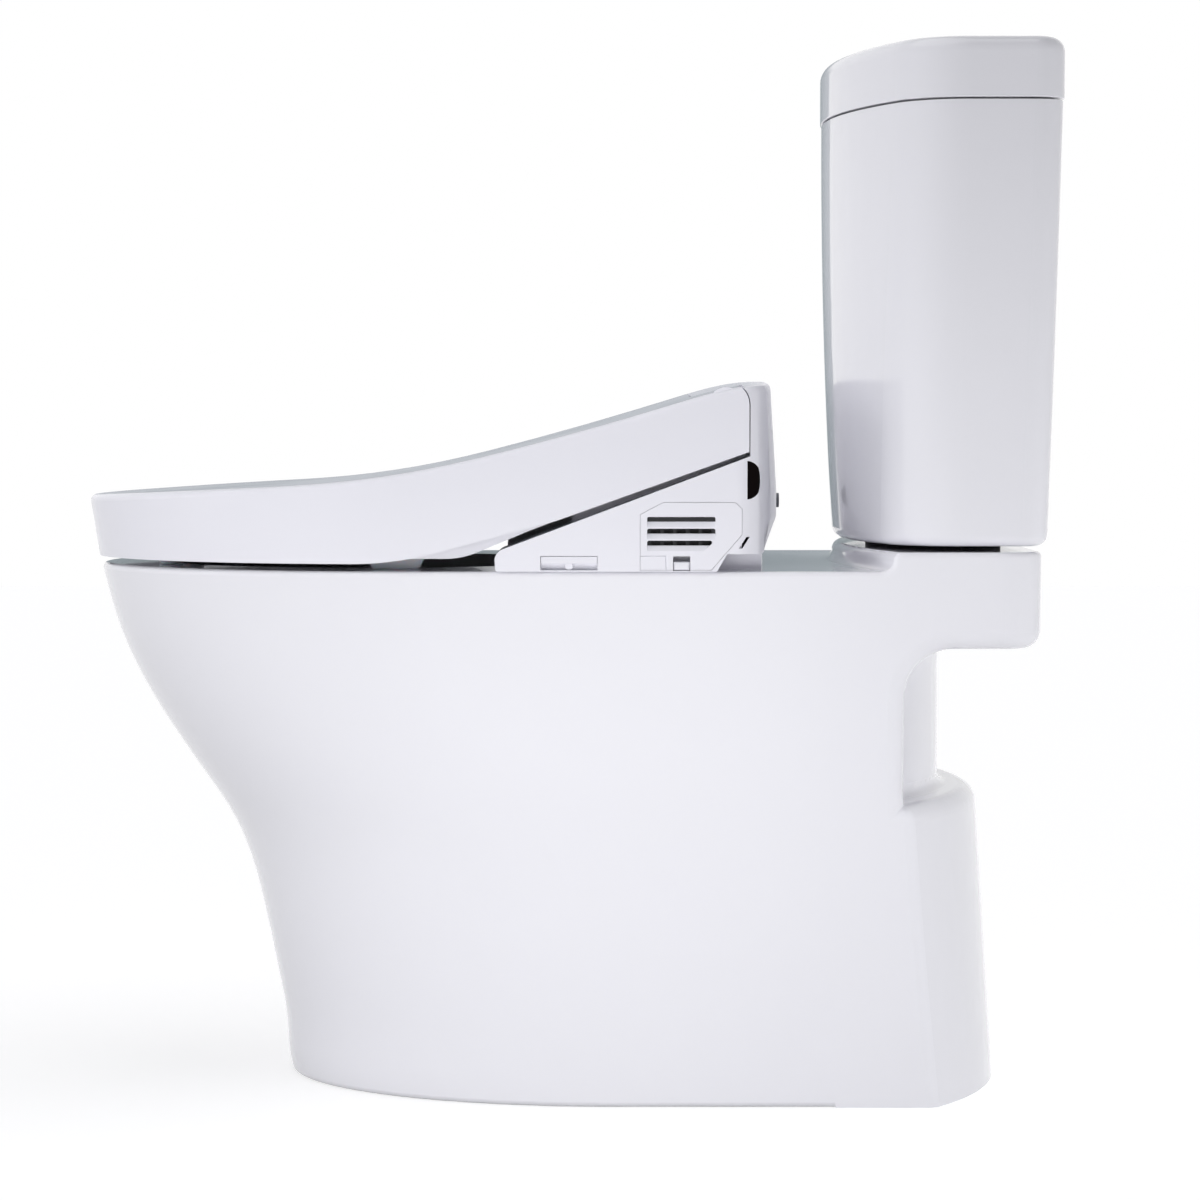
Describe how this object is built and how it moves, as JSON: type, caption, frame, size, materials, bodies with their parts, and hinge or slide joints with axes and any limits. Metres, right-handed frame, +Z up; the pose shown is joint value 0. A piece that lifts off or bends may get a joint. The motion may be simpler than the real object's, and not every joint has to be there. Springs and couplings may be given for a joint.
{
  "type": "skirted two-piece toilet with bidet seat",
  "caption": "Skirted two-piece toilet with a lift-off tank lid, dual-flush buttons and a bidet seat whose cover and seat hinge up and whose wand slides out.",
  "frame": {"origin": "on the floor, under the middle of the toilet's length and width", "axes": "+Z up, -Y towards the front of the bowl, +Y towards the wall, +X the side with the air filter"},
  "size_m": [0.392, 0.7411, 0.7993],
  "materials": {
    "vitreous_china": "white glaze",
    "seat_plastic": "white gloss polypropylene",
    "unit_plastic": "white gloss plastic",
    "clear_rubber": "milky elastomer",
    "black_rubber": "black rubber",
    "chrome_plate": "bright plated",
    "brass": "plain",
    "steel": "stainless",
    "white_acetal": "moulded acetal",
    "grey_plastic": "moulded",
    "black_plastic": "infrared window",
    "filter_foam": "carbon cartridge",
    "green_board": "circuit board"
  },
  "bodies": {
    "toilet": {"bowl": "vitreous_china", "tank": "vitreous_china", "floor_adapter": "grey_plastic", "outlet_seal": "black_rubber", "adapter_screws": "steel", "tank_bolts": "brass", "tank_bolt_washers": "black_rubber", "tank_spacers": "black_rubber", "tank_bolt_nuts": "brass", "tank_gasket": "black_rubber", "flush_valve_body": "white_acetal", "flush_valve_locknut": "white_acetal", "fill_valve_body": "white_acetal", "fill_valve_locknut": "white_acetal", "refill_hose": "clear_rubber", "unit_lower_case": "unit_plastic", "unit_upper_cover": "unit_plastic", "sensor_lens": "black_plastic", "drain_cover": "unit_plastic", "mounting_plate": "grey_plastic", "mounting_bolts": "steel", "mounting_bushings": "black_rubber", "hinge_shafts": "steel", "hinge_dampers": "grey_plastic", "wand_rail": "grey_plastic", "wand_motor": "grey_plastic", "flap_pin": "steel", "fan_housing": "grey_plastic", "fan_motor": "steel", "water_heater": "grey_plastic", "inlet_valve": "white_acetal", "cord_gland": "grey_plastic", "control_board": "green_board"},
    "tank_lid": {"tank_lid": "vitreous_china", "button_bezel": "chrome_plate"},
    "full_button": {"full_flush_button": "chrome_plate"},
    "half_button": {"half_flush_button": "chrome_plate"},
    "canister": {"flush_canister": "white_acetal", "flush_seal": "black_rubber"},
    "lever": {"lift_lever": "white_acetal"},
    "float": {"fill_float": "grey_plastic"},
    "seat": {"seat_ring": "seat_plastic", "seat_underside": "seat_plastic", "seat_pads": "clear_rubber"},
    "cover": {"seat_cover": "seat_plastic", "cover_pads": "clear_rubber"},
    "wand": {"wand": "white_acetal", "wand_nozzle": "white_acetal", "wand_cap": "unit_plastic"},
    "flap": {"dryer_flap": "unit_plastic"},
    "fan": {"fan_wheel": "black_plastic"},
    "filter": {"filter_cover": "unit_plastic", "filter_cartridge": "filter_foam"},
    "release": {"release_button": "unit_plastic"}
  },
  "joints": [
    {"name": "tank_lid_lift", "type": "slide", "parent": "toilet", "child": "tank_lid", "axis": [0, 0, 1], "range_m": [0, 0.15]},
    {"name": "full_flush_press", "type": "slide", "parent": "tank_lid", "child": "full_button", "axis": [0, 0, -1], "range_m": [0, 0.008], "stiffness_N_per_m": 300, "springref_m": -0.004},
    {"name": "half_flush_press", "type": "slide", "parent": "tank_lid", "child": "half_button", "axis": [0, 0, -1], "range_m": [0, 0.008], "stiffness_N_per_m": 300, "springref_m": -0.004},
    {"name": "lever_tilt", "type": "hinge", "parent": "toilet", "child": "lever", "pos_m": [0, 0.29, 0.702], "axis": [0, 1, 0], "range_deg": [0, 27]},
    {"name": "canister_lift", "type": "slide", "parent": "toilet", "child": "canister", "axis": [0, 0, 1], "range_m": [0, 0.0165]},
    {"name": "float_rise", "type": "slide", "parent": "toilet", "child": "float", "axis": [0, 0, 1], "range_m": [0, 0.03]},
    {"name": "seat_hinge", "type": "hinge", "parent": "toilet", "child": "seat", "pos_m": [0, 0.124, 0.528], "axis": [-1, 0, 0], "range_deg": [0, 95]},
    {"name": "cover_hinge", "type": "hinge", "parent": "seat", "child": "cover", "pos_m": [0, 0.124, 0.528], "axis": [1, 0, 0], "range_deg": [-105, 0]},
    {"name": "wand_slide", "type": "slide", "parent": "toilet", "child": "wand", "axis": [0, -0.8192, -0.5736], "range_m": [0, 0.095]},
    {"name": "flap_hinge", "type": "hinge", "parent": "toilet", "child": "flap", "pos_m": [-0.092, 0.012, 0.4331], "axis": [-1, 0, 0], "range_deg": [0, 60]},
    {"name": "fan_spin", "type": "hinge", "parent": "toilet", "child": "fan", "pos_m": [-0.092, 0.108, 0.458], "axis": [1, 0, 0], "continuous": true},
    {"name": "filter_pull", "type": "slide", "parent": "toilet", "child": "filter", "axis": [1, 0, 0], "range_m": [0, 0.06]},
    {"name": "release_press", "type": "slide", "parent": "toilet", "child": "release", "axis": [-1, 0, 0], "range_m": [0, 0.005], "stiffness_N_per_m": 400, "springref_m": -0.003}
  ],
  "couplings": [
    {"joint": "lever_tilt", "follows": "full_flush_press", "rad_per_m": 57.6},
    {"joint": "canister_lift", "follows": "full_flush_press", "ratio": 2}
  ]
}
